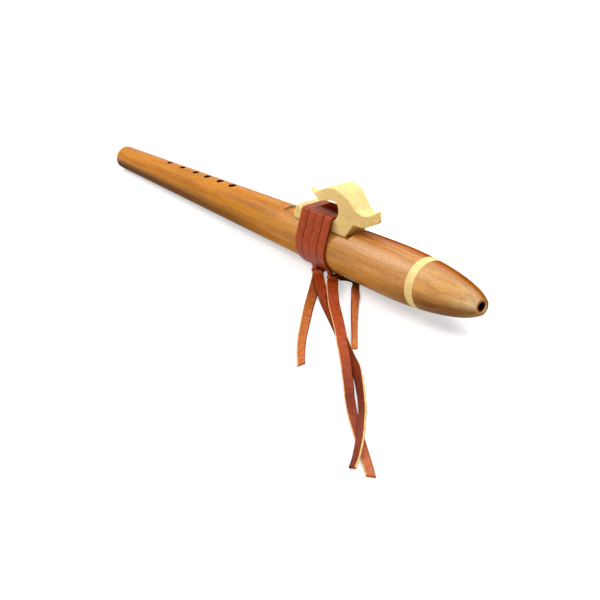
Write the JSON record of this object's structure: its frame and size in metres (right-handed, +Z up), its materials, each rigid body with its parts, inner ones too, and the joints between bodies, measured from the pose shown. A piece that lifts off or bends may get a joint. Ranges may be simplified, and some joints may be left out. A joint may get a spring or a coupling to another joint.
{
  "type": "native american style flute",
  "caption": "Long turned wooden duct flute with slow air chamber, carved block tied on by flat leather laces, pale accent ring and loose lace ends.",
  "frame": {"origin": "on the table, under the middle of the flute's box without its loose lace ends", "axes": "+X along the flute toward the mouth end, +Z up with the finger holes on top, the lace ends lie toward -Y"},
  "size_m": [0.5752, 0.1875, 0.0734],
  "materials": {
    "turned_wood": "oiled satin",
    "pale_wood": "sanded satin",
    "lace_leather": "smooth, slightly glossy"
  },
  "bodies": {
    "flute": {"body": "turned_wood", "accent_ring": "pale_wood", "mouthpiece": "turned_wood"},
    "block_and_laces": {"block": "pale_wood", "foot_lace_wrap": "lace_leather", "foot_lace_knot": "lace_leather", "mouth_lace_wrap": "lace_leather", "mouth_lace_knot": "lace_leather", "foot_lace_short_tail": "lace_leather", "foot_lace_long_tail": "lace_leather", "mouth_lace_long_tail": "lace_leather", "mouth_lace_short_tail": "lace_leather"}
  },
  "joints": [
    {"name": "block_slide", "type": "slide", "parent": "flute", "child": "block_and_laces", "axis": [0.9996, 0, 0.0279], "range_m": [-0.003, 0.003]}
  ]
}
